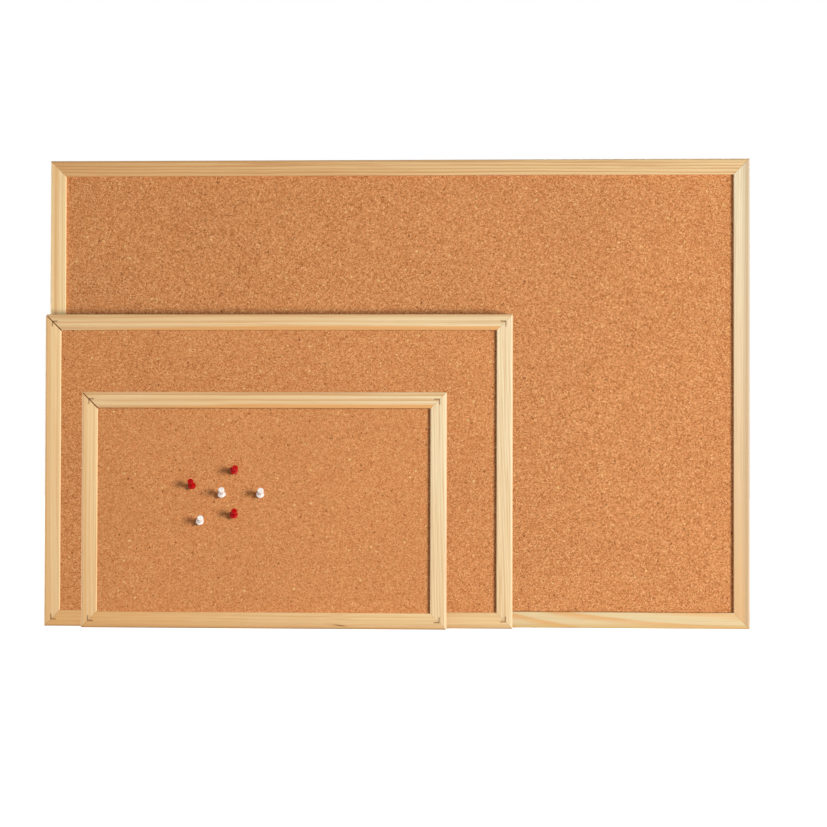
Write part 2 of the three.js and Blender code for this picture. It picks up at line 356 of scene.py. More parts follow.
MID_TOP = Figure(
    early=CREAM,
    far=GOLD,
    turned_share=0.55,
    late=TAN,
    ring=7.5 * MM,
    start=4.6 * MM,
    lines=1.0,
    sway=4 * MM,
    stripe=Stripe(APRICOT, place=19.5 * MM, half=3.2 * MM, fade=1.5 * MM, strength=0.95, kept_share=0.55),
)
MID_RIGHT = Figure(
    early=BISCUIT,
    far=IVORY,
    turned_share=0.7,
    late=TAN,
    ring=3.4 * MM,
    slope=-0.04,
    lines=0.5,
    threads=0.6,
    edge=PaintedEdgeShade(FAWN, width=1.5 * MM, fade=1.5 * MM, strength=0.65),
)
MID_LEFT = Figure(
    early=BUTTER,
    far=GOLD,
    late=APRICOT,
    ring=5.2 * MM,
    lines=0.6,
    edge=PaintedEdgeShade(AMBER, width=2 * MM, fade=9 * MM, strength=0.8),
)
MID_BOTTOM = Figure(
    early=AMBER,
    far=HONEY,
    late=ORANGE,
    ring=5.5 * MM,
    lines=0.35,
    edge=PaintedEdgeShade(TAN, width=0.0, fade=6 * MM, strength=0.7),
)
RAIL_FIGURES = {
    "large_bottom": Figure(
        early=WHEAT,
        late=AMBER,
        ring=16 * MM,
        start=6.9 * MM,
        lines=1.5,
        sway=4 * MM,
        threads=0.3,
        arch=(591 * MM, 14 * MM),
        edge=PaintedEdgeShade(PAINTED_SHADE_CLAY, width=3 * MM, fade=4 * MM, strength=0.6),
    ),
    "large_right": Figure(
        early=AMBER,
        far=PEARL,
        turned_share=0.9,
        late=FAWN,
        ring=3.2 * MM,
        slope=0.008,
        lines=0.8,
        threads=0.7,
        edge=PaintedEdgeShade(PAINTED_SHADE_DUSK, width=0.0, fade=11 * MM, strength=0.85),
    ),
    "large_top": Figure(
        early=OAT,
        far=AMBER,
        late=RUSSET,
        ring=4.4 * MM,
        lines=1.0,
        sway=8 * MM,
        threads=0.7,
    ),
    "large_left": Figure(
        early=BUTTER,
        far=SUNLIT,
        turned_share=0.3,
        late=AMBER,
        ring=5 * MM,
        lines=0.45,
        threads=0.3,
        stripe=Stripe(APRICOT, place=8.5 * MM, half=0.8 * MM, fade=2.2 * MM, strength=0.6),
    ),
    "mid_bottom": MID_BOTTOM,
    "mid_right": MID_RIGHT,
    "mid_top": MID_TOP,
    "mid_left": MID_LEFT,
    "small_bottom": replace(
        MID_BOTTOM,
        far=OAT,
        ring=5.2 * MM,
        edge=PaintedEdgeShade(TAN, width=0.0, fade=10 * MM, strength=0.7),
        knot=(330 * MM, 4.8 * MM),
    ),
    "small_right": replace(MID_RIGHT, ring=3.6 * MM, slope=-0.02),
    "small_top": MID_TOP,
    "small_left": replace(
        MID_LEFT,
        ring=4.9 * MM,
        edge=PaintedEdgeShade(AMBER, width=1 * MM, fade=9 * MM, strength=0.8),
    ),
}

# Waves in a metre of pine, along and across the grain
DRIFT_WAVES = (1.6, 9)
RIPPLE_WAVES = (5, 95)
LATE_WAVES = (3, 160)
STREAK_WAVES = (6, 330)
SHADE_WAVES = (3.5, 640)
FIBRE_WAVES = (55, 2600)
DUCT_WAVES = (150, 3000)

# From one rail's piece of the patterns to the next
PINE_STEP = Vector((3.7, 1.9, 2.3))
DUCT_STEP = Vector((5.1, 0, 0))

# Year rings
RIPPLE = 5 * MM
RING_LEAN = 0.45  # how far a ring moves across for each unit of depth
RING_STOPS = [
    grey_stop(0.0, 0.35),
    grey_stop(0.12, 0.0),
    grey_stop(0.5, 0.1),
    grey_stop(0.85, 0.9),
    grey_stop(0.94, 1.0),
]
FAINT_LATE_SHARE = 0.35  # of the late wood's strength, where it shows least
ARCH_ROUND = 30 * MM

# Streaks, stripes, fibres and resin ducts
STREAK_RANGE = (0.5, 0.68)  # the peaks of the noise, which show as streaks
STRIPE_WANDER_SHARE = 0.5  # of the rings' wandering
STRIPE_END_SHARE = 0.45  # of the rail's length, over which a stripe narrows to nothing
FIBRE_SHADES = (0.95, 1.04)
DUCT_RANGE = (0.73, 0.8)
DUCT_STRENGTH = 0.4
END_GRAIN = (0.72, 0.56, 0.36, 1)  # share of the wood's own colour that its cut ends show
END_GRAIN_RANGE = (0.45, 0.65)  # how far a face looks along the grain

# A small knot, with its ranges in squares of its own length and height
KNOT_BULGE = 3 * MM
KNOT_LENGTH = 16 * MM
KNOT_HEIGHT = 1.5 * MM
KNOT_SLANT = 0.12
KNOT_HALO_RANGE = (0.3, 2.5)
KNOT_HALO_STRENGTH = 0.35
KNOT_HEART_RANGE = (0.06, 0.35)
KNOT_HEART_STRENGTH = 0.85

# Bruised wood beside the V nails
CRUSH_REACH = 1.7 * MM
CRUSH_CORE = 0.4 * MM
CRUSH_DEPTH = 1.5 * MM
CRUSH_SKIN = 0.3 * MM
CRUSH_RAGGEDNESS = 2.4 * MM
CRUSH_LUMP = 1.5 * MM
CRUSH_STRENGTH = 0.5

# Relief, as shares of its depth, and roughness
FIBRE_HEIGHT = 0.6
LATE_HEIGHT = 0.5
CRUSH_HEIGHT = 3.0
PINE_RELIEF = 0.06 * MM
PINE_ROUGHNESS = (0.5, 0.62)


def crushed(g, parts, length, face):
    """Where the wood is bruised beside the legs of the V nails, on the face that they were driven into."""
    from_end = g.math("MINIMUM", parts["X"], g.math("SUBTRACT", length, parts["X"]))
    before = g.math("SUBTRACT", V_NAIL_INSET, from_end)
    beyond = g.math("SUBTRACT", from_end, V_NAIL_INSET + V_NAIL_LEG)
    along = g.math("MAXIMUM", g.math("MAXIMUM", before, beyond), 0.0)
    aside = g.math("SUBTRACT", parts["Z"], V_NAIL_INSET)
    away = g.math("SQRT", g.math("ADD", g.square(along), g.square(aside)))
    ragged = g.swing(g.noise(g.place(), 1 / CRUSH_LUMP, detail=3.0), CRUSH_RAGGEDNESS)
    near = g.spread(g.math("ADD", away, ragged), CRUSH_CORE, CRUSH_REACH, CRUSH_STRENGTH, 0.0)
    below_face = g.math("ABSOLUTE", g.math("SUBTRACT", parts["Y"], face))
    return g.math("MULTIPLY", near, g.spread(below_face, CRUSH_SKIN, CRUSH_DEPTH, 1.0, 0.0))


def run_out(g, figure, along):
    """How far the rings have moved across, at each place along the rail."""
    if figure.arch is None:
        return g.math("MULTIPLY", along, figure.slope)
    top, steepness = figure.arch
    reach = g.math("ADD", g.square(g.math("SUBTRACT", along, top)), ARCH_ROUND**2)
    return g.math("MULTIPLY", g.math("LOGARITHM", reach, math.e), steepness / 2)


def wandering(g, figure, shift):
    """How far the rings sway to either side, slowly and in ripples."""
    drift = g.swing(g.grain(DRIFT_WAVES, shift), figure.sway)
    return g.math("ADD", drift, g.swing(g.grain(RIPPLE_WAVES, shift), RIPPLE))


def knot_bulge(g, figure, along):
    """How far the rings bend aside around the knot."""
    from_knot = g.math("DIVIDE", g.math("SUBTRACT", along, figure.knot[0]), KNOT_LENGTH)
    return g.math("DIVIDE", KNOT_BULGE, g.math("ADD", g.square(from_knot), 1.0))


def late_wood(g, across, ring):
    """How late in its year the wood at each place across the rings grew."""
    return g.ramp(g.math("FRACT", g.math("DIVIDE", across, ring)), RING_STOPS)


def early_colour(g, figure, along, length):
    if figure.far is None:
        return figure.early
    return g.blend(g.spread(along, 0.0, length * figure.turned_share), figure.early, figure.far)


def with_stripe(g, colour, stripe, across, along, length):
    kept = length * stripe.kept_share
    reach = stripe.half + stripe.fade
    narrowed = g.spread(along, kept, kept + length * STRIPE_END_SHARE, 0.0, reach)
    aside = g.math("ABSOLUTE", g.math("SUBTRACT", across, stripe.place))
    shown = g.spread(g.math("ADD", aside, narrowed), stripe.half, reach, stripe.strength, 0.0)
    return g.blend(shown, colour, stripe.colour)


# Paints shade along a rail's outer edge: darkest at the edge, fading away across the rail
def with_painted_edge_shade(g, colour, edge, across):
    shown = g.spread(across, edge.width, edge.width + edge.fade, edge.strength, 0.0)
    return g.blend(shown, colour, edge.colour)


def with_knot(g, colour, knot, parts):
    """The colour with a knot's brown heart, and the orange wood around it."""
    from_knot = g.math("SUBTRACT", parts["X"], knot[0])
    slanted = g.math("MULTIPLY", from_knot, KNOT_SLANT)
    height = g.math("ADD", g.math("SUBTRACT", parts["Z"], knot[1]), slanted)
    long_way = g.square(g.math("DIVIDE", from_knot, KNOT_LENGTH))
    away = g.math("ADD", long_way, g.square(g.math("DIVIDE", height, KNOT_HEIGHT)))
    colour = g.blend(g.spread(away, *KNOT_HALO_RANGE, KNOT_HALO_STRENGTH, 0.0), colour, ORANGE)
    return g.blend(g.spread(away, *KNOT_HEART_RANGE, KNOT_HEART_STRENGTH, 0.0), colour, BROWN)


def with_end_grain(g, colour):
    """The colour, darker where the surface cuts across the grain."""
    normal = g.apart(g.node("TexCoord", {}, "Normal"))
    cut = g.spread(g.math("ABSOLUTE", normal["X"]), *END_GRAIN_RANGE)
    return g.blend(cut, colour, g.tint(colour, END_GRAIN))


def pine(name, seed, length, nailed_face, figure):
    """Wood of one rail, and painted shade along its outer edge where the figure gives one. The rail's own X
    runs along the grain and its Z runs across its face from the outer edge. nailed_face is the Y of the
    face with the V nails."""
    g = Graph(name)
    shift = PINE_STEP * seed
    parts = g.apart(g.place())
    along = parts["X"]
    moved = run_out(g, figure, along)
    wander = wandering(g, figure, shift)
    leaning = g.math("ADD", parts["Z"], g.math("MULTIPLY", parts["Y"], RING_LEAN))
    across_rings = g.total(leaning, moved, figure.start, wander)
    if figure.knot is not None:
        across_rings = g.math("ADD", across_rings, knot_bulge(g, figure, along))
    late = late_wood(g, across_rings, figure.ring)
    strength = g.spread_noise(g.grain(LATE_WAVES, shift), figure.lines * FAINT_LATE_SHARE, figure.lines)
    early = early_colour(g, figure, along, length)
    colour = g.blend(g.math("MULTIPLY", late, strength), early, figure.late)
    streaks = g.grain(STREAK_WAVES, shift, detail=3.0, roughness=0.65)
    colour = g.blend(g.spread(streaks, *STREAK_RANGE, 0.0, figure.threads), colour, figure.late)
    if figure.stripe is not None:
        across = g.total(parts["Z"], moved, g.math("MULTIPLY", wander, STRIPE_WANDER_SHARE))
        colour = with_stripe(g, colour, figure.stripe, across, along, length)
    # painted shade along the outer edge
    if figure.edge is not None:
        colour = with_painted_edge_shade(g, colour, figure.edge, parts["Z"])
    fibres = g.grain(FIBRE_WAVES, shift, detail=3.0, roughness=0.6)
    shades = g.grain(SHADE_WAVES, shift, roughness=0.6)
    shade = g.math("MULTIPLY", g.spread_noise(fibres, *FIBRE_SHADES), g.spread_noise(shades, *FIBRE_SHADES))
    colour = g.tint(colour, g.grey(shade))
    ducts = g.grain(DUCT_WAVES, DUCT_STEP * seed, detail=1.0)
    colour = g.blend(g.spread(ducts, *DUCT_RANGE, 0.0, DUCT_STRENGTH), colour, ORANGE)
    if figure.knot is not None:
        colour = with_knot(g, colour, figure.knot, parts)
    bruise = crushed(g, parts, length, nailed_face)
    raised = g.math("ADD", g.math("MULTIPLY", fibres, FIBRE_HEIGHT), g.math("MULTIPLY", late, LATE_HEIGHT))
    relief = g.math("SUBTRACT", raised, g.math("MULTIPLY", bruise, CRUSH_HEIGHT))
    return g.finish(
        Base_Color=g.blend(bruise, with_end_grain(g, colour), BARK),
        Roughness=g.spread_noise(fibres, *PINE_ROUGHNESS),
        Normal=g.bump(relief, PINE_RELIEF, strength=0.6),
    )


GRANULE = 1.55 * MM
GRANULE_SHARE = 0.45  # of the cork's tone, and the crumbs give the rest
CRUMB = 0.8 * MM
DUST = 0.5 * MM
DUST_TONE = 0.4
HUE_PATCH = 5 * MM
REDDER = (1.03, 0.96, 0.93, 1)
YELLOWER = (0.98, 1.035, 1.01, 1)
CLOUDS_PER_METRE = 9.0
CLOUD_RANGE = (0.25, 0.75)
CLOUD_SHADES = (0.97, 1.03)
BIT_SHARE = 0.3  # of the cells, which hold a bit
BIT_RIM = (-0.02, 0.06)  # how softly it ends, in cells
BIT_BEND = 2.6 * MM
BIT_BEND_LENGTH = 1.3 * MM
BIT_STRENGTH = 0.75
BARK_BIT = rgb(118, 62, 28)
BARK_BIT_SIZE = 1.5 * MM
BARK_BIT_SPACING = 5.5 * MM
PALE_CHIP = rgb(236, 198, 128)
PALE_CHIP_SIZE = 1.7 * MM
PALE_CHIP_SPACING = 7 * MM
CORK_STEP = Vector((0.37, 0.11, 0.53))  # from one board's piece of the patterns to the next
CHIP_STEP = Vector((0.71, 0, 0.29))
CHIP_START = Vector((0, 0.4, 0))
CORK_STOPS = [
    (0.06, rgb(130, 72, 34)),
    (0.22, rgb(178, 106, 56)),
    (0.42, rgb(203, 132, 78)),
    (0.6, rgb(214, 145, 89)),
    (0.8, rgb(231, 168, 112)),
    (0.94, rgb(247, 203, 153)),
]
CORK_CONTRAST = {"large": 0.95, "mid": 0.85, "small": 0.75}
CORK_ROUGHNESS = (0.82, 0.96)
CORK_RELIEF = 0.25 * MM
DUST_HEIGHT = 0.5
PIT_HEIGHT = 0.7


def bits(g, place, spacing, size):
    """Where scattered bits lie: a share of all cells holds one each, of differing size and shape."""
    bend = g.noise(place, 1 / BIT_BEND_LENGTH).node.outputs["Color"]
    offset = g.node("VectorMath", {0: bend, 1: (0.5, 0.5, 0.5)}, operation="SUBTRACT")
    offset = g.node("VectorMath", {0: offset, "Scale": BIT_BEND}, operation="SCALE")
    distance = g.cells(g.node("VectorMath", {0: place, 1: offset}, operation="ADD"), 1 / spacing)
    chance = g.node("SeparateColor", {0: distance.node.outputs["Color"]}, "Red")
    radius = g.spread(chance, 1 - BIT_SHARE, 1.0, 0.0, size / spacing)
    return g.spread(g.math("SUBTRACT", radius, distance), *BIT_RIM)


def cork(name, seed, contrast):
    """Pressed cork: granules and crumbs, redder and yellower patches, bits of bark and pale chips."""
    g = Graph(name)
    place = g.place(shift=CORK_STEP * seed)
    chip_place = g.place(shift=CHIP_START + CHIP_STEP * seed)
    dust = g.noise(place, 1 / DUST)
    grains = g.weigh(g.chances(place, GRANULE), g.chances(place, CRUMB, "Green"), GRANULE_SHARE)
    tone = g.math("ADD", grains, g.swing(dust, DUST_TONE))
    tone = g.spread(tone, 0.0, 1.0, 0.5 - contrast / 2, 0.5 + contrast / 2)
    colour = g.ramp(tone, CORK_STOPS)
    patches = g.noise(place, 1 / HUE_PATCH, detail=4.0, roughness=0.7)
    hue = g.spread_noise(patches, 0.0, 1.0)
    colour = g.blend(hue, g.tint(colour, REDDER), g.tint(colour, YELLOWER))
    clouds = g.noise(place, CLOUDS_PER_METRE, detail=3.0)
    colour = g.tint(colour, g.grey(g.spread(clouds, *CLOUD_RANGE, *CLOUD_SHADES)))
    bark = bits(g, place, BARK_BIT_SPACING, BARK_BIT_SIZE)
    colour = g.blend(g.math("MULTIPLY", bark, BIT_STRENGTH), colour, BARK_BIT)
    chips = bits(g, chip_place, PALE_CHIP_SPACING, PALE_CHIP_SIZE)
    colour = g.blend(g.math("MULTIPLY", chips, BIT_STRENGTH), colour, PALE_CHIP)
    pits = g.math("MULTIPLY", g.cells(place, 1 / GRANULE), PIT_HEIGHT)
    return g.finish(
        Base_Color=colour,
        Roughness=g.spread_noise(dust, *CORK_ROUGHNESS),
        Specular_IOR_Level=0.25,
        Normal=g.bump(
            g.math("SUBTRACT", g.math("MULTIPLY", dust, DUST_HEIGHT), pits), CORK_RELIEF, strength=0.7
        ),
    )


FELT = 1.6 * MM
TUFT = 18 * MM
HAIR_WAVES = (400, 1500)
FIBREBOARD_STOPS = [(0.3, rgb(116, 84, 54)), (0.5, rgb(158, 122, 84)), (0.7, rgb(192, 158, 116))]
TUFT_SHADES = (0.93, 1.05)
FIBREBOARD_ROUGHNESS = (0.84, 0.97)
FIBREBOARD_RELIEF = 0.3 * MM


def fibreboard(name):
    """Soft fibreboard: felted wood fibres, pressed flat."""
    g = Graph(name)
    felt = g.noise(g.place(), 1 / FELT, detail=6.0, roughness=0.7, distortion=1.5)
    hairs = g.grain(HAIR_WAVES, detail=4.0, roughness=0.6, distortion=2.0)
    tufts = g.noise(g.place(), 1 / TUFT, detail=3.0)
    tone = g.weigh(felt, hairs, 0.5)
    return g.finish(
        Base_Color=g.tint(g.ramp(tone, FIBREBOARD_STOPS), g.grey(g.spread_noise(tufts, *TUFT_SHADES))),
        Roughness=g.spread_noise(felt, *FIBREBOARD_ROUGHNESS),
        Specular_IOR_Level=0.2,
        Normal=g.bump(tone, FIBREBOARD_RELIEF, strength=0.8),
    )


SPANGLE = 2.5 * MM
SPANGLE_SHARE = 0.35  # of the zinc's tone, and its scuffs give the rest
SCUFF_WAVES = (300, 2400)
ZINC_STOPS = [(0.2, rgb(142, 145, 150)), (0.8, rgb(192, 195, 200))]
ZINC_RANGE = (0.2, 0.8)
ZINC_ROUGHNESS = (0.28, 0.46)
ZINC_RELIEF = 0.02 * MM


def zinc_steel(name):
    """Galvanized steel, with the zinc's flakes and fine scuffs."""
    g = Graph(name)
    scuffs = g.grain(SCUFF_WAVES, detail=4.0, roughness=0.6)
    tone = g.weigh(g.chances(g.place(), SPANGLE), scuffs, SPANGLE_SHARE)
    return g.finish(
        Base_Color=g.ramp(tone, ZINC_STOPS),
        Metallic=1.0,
        Roughness=g.spread(tone, *ZINC_RANGE, *ZINC_ROUGHNESS),
        Normal=g.bump(scuffs, ZINC_RELIEF, strength=0.5),
    )


RUST_SPOT = 1.2 * MM
RUST_STOPS = [(0.35, rgb(110, 72, 38)), (0.55, rgb(142, 98, 54)), (0.72, rgb(170, 122, 72))]
RUST_ROUGHNESS = (0.42, 0.66)
RUST_RELIEF = 0.03 * MM


def dark_steel(name):
    """Blued steel of the V nails, browned where it was sheared."""
    g = Graph(name)
    rust = g.noise(g.place(), 1 / RUST_SPOT, detail=4.0, roughness=0.65)
    return g.finish(
        Base_Color=g.ramp(rust, RUST_STOPS),
        Metallic=0.2,
        Roughness=g.spread_noise(rust, *RUST_ROUGHNESS),
        Normal=g.bump(rust, RUST_RELIEF, strength=0.6),
    )


FLOW_MARK = 3.5 * MM
FLOW_STRETCH = (1, 1, 0.35)
POLISH_MARK = 0.35 * MM
PLASTIC_ROUGHNESS = (0.2, 0.3)
PLASTIC_RELIEF = 0.004 * MM
GLOW_REACH = 3 * MM
GLOW_SPREAD = (1.0, 0.95, 0.9)  # how far each of the three colours reaches


def moulded_plastic(name, dark, light, gloss, glow):
    """Glossy moulded polystyrene, with faint flow marks. Light scatters a little way inside it."""
    g = Graph(name)
    flow = g.noise(g.place(FLOW_STRETCH), 1 / FLOW_MARK, detail=3.0, distortion=1.0)
    fine = g.noise(g.place(), 1 / POLISH_MARK)
    dark_end, light_end = NOISE_RANGE
    return g.finish(
        Base_Color=g.ramp(flow, [(dark_end, dark), (light_end, light)]),
        Roughness=g.spread_noise(fine, *PLASTIC_ROUGHNESS),
        Specular_IOR_Level=gloss,
        Subsurface_Weight=glow,
        Subsurface_Radius=GLOW_SPREAD,
        Subsurface_Scale=GLOW_REACH,
        Normal=g.bump(fine, PLASTIC_RELIEF, strength=0.5),
    )


RED_DARK = rgb(174, 2, 5)
RED_LIGHT = rgb(194, 4, 8)
WHITE_DARK = rgb(234, 229, 224)
WHITE_LIGHT = rgb(244, 240, 235)

MATERIALS = {
    "fibreboard": fibreboard("fibreboard"),
    "zinc_steel": zinc_steel("zinc_steel"),
    "dark_steel": dark_steel("dark_steel"),
    "red_plastic": moulded_plastic("red_plastic", RED_DARK, RED_LIGHT, gloss=0.13, glow=0.0),
    "white_plastic": moulded_plastic("white_plastic", WHITE_DARK, WHITE_LIGHT, gloss=0.35, glow=0.8),
}


def new_piece(name, mesh, matrix, body, material):
    """A piece in its place, riding on its body, with its finish."""
    piece = bpy.data.objects.new(name, mesh)
    bpy.context.scene.collection.objects.link(piece)
    mesh.materials.clear()
    mesh.materials.append(material)
    piece.matrix_world = matrix
    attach(piece, body)
    return piece


def mesh_from(name, vertices, faces):
    """A mesh with all of its faces turned outwards."""
    mesh = bpy.data.meshes.new(name)
    mesh.from_pydata(vertices, [], faces)
    shape = bmesh.new()
    shape.from_mesh(mesh)
    bmesh.ops.recalc_face_normals(shape, faces=shape.faces)
    shape.to_mesh(mesh)
    shape.free()
    return mesh


def smooth(mesh, sharp_degrees):
    mesh.shade_smooth()
    mesh.set_sharp_from_angle(angle=math.radians(sharp_degrees))


def settle(piece):
    """Applies the piece's modifiers to its mesh."""
    bpy.context.view_layer.update()
    result = bpy.data.meshes.new_from_object(piece.evaluated_get(bpy.context.evaluated_depsgraph_get()))
    piece.modifiers.clear()
    piece.data = result


def ease_edges(piece, width):
    bevel = piece.modifiers.new("eased_edges", "BEVEL")
    bevel.width = width
    bevel.segments = 2
    bevel.angle_limit = math.radians(EASED_DEGREES)


def weight_normals(piece):
    piece.modifiers.new("even_shading", "WEIGHTED_NORMAL").keep_sharp = True


def arc(across, forwards, radius, start, end, steps):
    angles = [math.radians(start + (end - start) * i / steps) for i in range(steps + 1)]
    return [(across + radius * math.cos(a), forwards + radius * math.sin(a)) for a in angles]


def moulding_section(width, depth):
    """Outline of the moulding: across from its outer side, and forwards from its back."""
    wall = width - GROOVE_DEPTH
    groove = [(width, LIP), (wall, LIP), (wall, depth - LIP), (width, depth - LIP)]
    return (
        arc(BACK_ROUND, BACK_ROUND, BACK_ROUND, 180, 270, ARC_STEPS)
        + arc(width - BACK_ROUND, BACK_ROUND, BACK_ROUND, 270, 360, ARC_STEPS)
        + groove
        + arc(width - INNER_ROUND, depth - INNER_ROUND, INNER_ROUND, 0, 90, ARC_STEPS)
        + arc(OUTER_ROUND, depth - OUTER_ROUND, OUTER_ROUND, 90, 180, ARC_STEPS)
    )


def rail_mesh(name, length, width, depth, start_gap, end_gap):
    """A length of moulding along X, its face towards -Y and its outer side down, mitred at both ends."""
    section = moulding_section(width, depth)
    vertices = [(across + start_gap, -forwards, across) for across, forwards in section]
    vertices += [(length - across - end_gap, -forwards, across) for across, forwards in section]
    count = len(section)
    faces = [(i, (i + 1) % count, count + (i + 1) % count, count + i) for i in range(count)]
    faces += [tuple(range(count)), tuple(range(count, 2 * count))]
    return mesh_from(name, vertices, faces)


def box_shape(shape, low, high):
    size = high - low
    matrix = Matrix.Translation((low + high) / 2) @ Matrix.Diagonal((*size, 1))
    bmesh.ops.create_cube(shape, size=1, matrix=matrix)


def rod_shape(shape, start, radius, length):
    """A rod along Y from its start."""
    middle_of_rod = Matrix.Translation(start + Vector((0, length / 2, 0)))
    bmesh.ops.create_cone(
        shape,
        cap_ends=True,
        segments=NAIL_HOLE_STEPS,
        radius1=radius,
        radius2=radius,
        depth=length,
        matrix=middle_of_rod @ rotation(math.pi / 2, "X"),
    )


def slots_and_holes(shape, length, depth, front_nailed, nail_tips):
    """The cuts in one rail: slots for the legs of the V nails at its ends, and holes for hanger nails."""
    half = V_NAIL_THICKNESS / 2 + SLOT_GAP
    front = (-depth - CUT_OVERRUN, -depth + V_NAIL_DEPTH)
    back = (-V_NAIL_DEPTH, CUT_OVERRUN)
    low_y, high_y = front if front_nailed else back
    start = V_NAIL_INSET - half
    end = V_NAIL_INSET + V_NAIL_LEG + SLOT_GAP
    for low_x, high_x in ((start, end), (length - end, length - start)):
        low = Vector((low_x, low_y, V_NAIL_INSET - half))
        high = Vector((high_x, high_y, V_NAIL_INSET + half))
        box_shape(shape, low, high)
    for tip in nail_tips:
        rod_shape(shape, tip, NAIL_RADIUS + SLOT_GAP, CUT_OVERRUN - tip.y)


def carve(piece, fill_shape, *sizes):
    """Cuts the shapes that fill_shape puts into a bmesh, in the piece's own frame, out of the piece."""
    shape = bmesh.new()
    fill_shape(shape, *sizes)
    mesh = bpy.data.meshes.new("cutter")
    shape.to_mesh(mesh)
    shape.free()
    cutter = bpy.data.objects.new("cutter", mesh)
    bpy.context.scene.collection.objects.link(cutter)
    cutter.matrix_world = piece.matrix_world
    cut = piece.modifiers.new("cuts", "BOOLEAN")
    cut.operation = "DIFFERENCE"
    cut.solver = "EXACT"
    cut.object = cutter
    settle(piece)
    bpy.data.objects.remove(cutter)


def board_box(board):
    """Outer corners of a board's frame."""
    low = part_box(f"{board}_bottom_rail")[0]
    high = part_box(f"{board}_right_rail")[1]
    return Vector((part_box(f"{board}_left_rail")[0].x, low.y, low.z)), high


def rail_places(low, high):
    """Each rail's turn about Y, its starting corner, its length and the corners at its ends."""
    width = high.x - low.x
    height = high.z - low.z
    back = high.y
    return {
        "bottom": (0, Vector((low.x, back, low.z)), width, ("bottom_left", "bottom_right")),
        "right": (-math.pi / 2, Vector((high.x, back, low.z)), height, ("bottom_right", "top_right")),
        "top": (math.pi, Vector((high.x, back, high.z)), width, ("top_right", "top_left")),
        "left": (math.pi / 2, Vector((low.x, back, high.z)), height, ("top_left", "bottom_left")),
    }


def middle(node):
    low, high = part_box(node)
    return (low + high) / 2


def mitre_gap(board, corner):
    opened = board in FRONT_NAILED and corner == "top_left"
    return (OPEN_MITRE_GAP if opened else MITRE_GAP) * math.sqrt(0.5)


def hanger_nail_tips(board, rail_matrix):
    """Where the tips of a board's hanger nails lie in the frame of its top rail."""
    nodes = [n for n in frame["nodes"] if n.startswith(f"{board}_") and "hanger" in n and "nail" in n]
    tips = [Vector((middle(n).x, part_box(n)[0].y, middle(n).z)) for n in sorted(nodes)]
    return [rail_matrix.inverted() @ tip for tip in tips]


def make_rail(board, side, seed):
    low, high = board_box(board)
    turn, corner, length, ends = rail_places(low, high)[side]
    name = f"{board}_{side}_rail"
    rail_low, rail_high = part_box(name)
    width = rail_high.z - rail_low.z if side in ("top", "bottom") else rail_high.x - rail_low.x
    depth = high.y - low.y
    matrix = Matrix.Translation(corner) @ rotation(turn, "Y")
    mesh = rail_mesh(name, length, width, depth, *(mitre_gap(board, end) for end in ends))
    front_nailed = board in FRONT_NAILED
    nailed_face = -depth if front_nailed else 0.0
    material = pine(f"pine_{board}_{side}", seed, length, nailed_face, RAIL_FIGURES[f"{board}_{side}"])
    rail = new_piece(f"{name}_moulding", mesh, matrix, f"{board}_board", material)
    nail_tips = hanger_nail_tips(board, matrix) if side == "top" else []
    carve(rail, slots_and_holes, length, depth, front_nailed, nail_tips)
    smooth(rail.data, WOOD_SHARP_DEGREES)
    ease_edges(rail, WOOD_ARRIS)
    weight_normals(rail)
    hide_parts(name)


def turned(name, profile, steps):
    """A turned piece about Z from (radius, height) points, closed where the radius is zero."""
    vertices = []
    rings = []
    for radius, height in profile:
        if radius == 0:
            rings.append([len(vertices)] * steps)
            vertices.append((0, 0, height))
        else:
            rings.append(list(range(len(vertices), len(vertices) + steps)))
            angles = [2 * math.pi * i / steps for i in range(steps)]
            vertices += [(radius * math.cos(a), radius * math.sin(a), height) for a in angles]
    faces = []
    for lower, upper in zip(rings, rings[1:]):
        for i in range(steps):
            j = (i + 1) % steps
            corners = dict.fromkeys((lower[i], lower[j], upper[j], upper[i]))
            if len(corners) > 2:
                faces.append(tuple(corners))
    return mesh_from(name, vertices, faces)


def curve_between(start, control, end, steps):
    """Points of a quadratic curve, without its first one."""
    points = []
    for i in range(1, steps + 1):
        t = i / steps
        weights = ((1 - t) ** 2, 2 * t * (1 - t), t * t)
        points.append(tuple(sum(w * p[k] for w, p in zip(weights, (start, control, end))) for k in (0, 1)))
    return points


def grip_profile():
    """Outline of the grip from the end of its bore: flange, neck, waist, flare, head and gate dimple."""
    bore = NEEDLE_RADIUS + BORE_GAP
    seat = NEEDLE_SEAT + SEAT_GAP
    top = GRIP_LENGTH
    rim = FLANGE_RADIUS - RIM_ROUND
    rim_low = arc(rim, RIM_ROUND, RIM_ROUND, -90, 0, RIM_STEPS)
    rim_high = arc(rim, FLANGE_RIM - RIM_ROUND, RIM_ROUND, 0, FLANGE_RIM_TURN, RIM_STEPS)
    neck = curve_between(rim_high[-1], (WAIST_RADIUS, FLANGE_RIM), (WAIST_RADIUS, FLANGE_TOP), CURVE_STEPS)
    waist = (WAIST_RADIUS, WAIST_TOP)
    head = HEAD_RADIUS - RIM_ROUND
    flare = curve_between(waist, (WAIST_RADIUS, HEAD_BOTTOM), (head, HEAD_BOTTOM), CURVE_STEPS)
    head_low = arc(head, HEAD_BOTTOM + RIM_ROUND, RIM_ROUND, -HEAD_RIM_TURN, 0, RIM_STEPS)
    head_high = arc(HEAD_RADIUS - HEAD_ROUND, top - HEAD_ROUND, HEAD_ROUND, 0, 90, HEAD_STEPS)
    gate_floor = top - GATE_DEPTH
    gate = [(GATE_RADIUS, top), (GATE_RADIUS * GATE_FLOOR_SHARE, gate_floor), (0, gate_floor)]
    start = [(0, seat), (bore, seat), (bore, 0)]
    return start + rim_low + rim_high + neck + [waist] + flare + head_low + head_high + gate


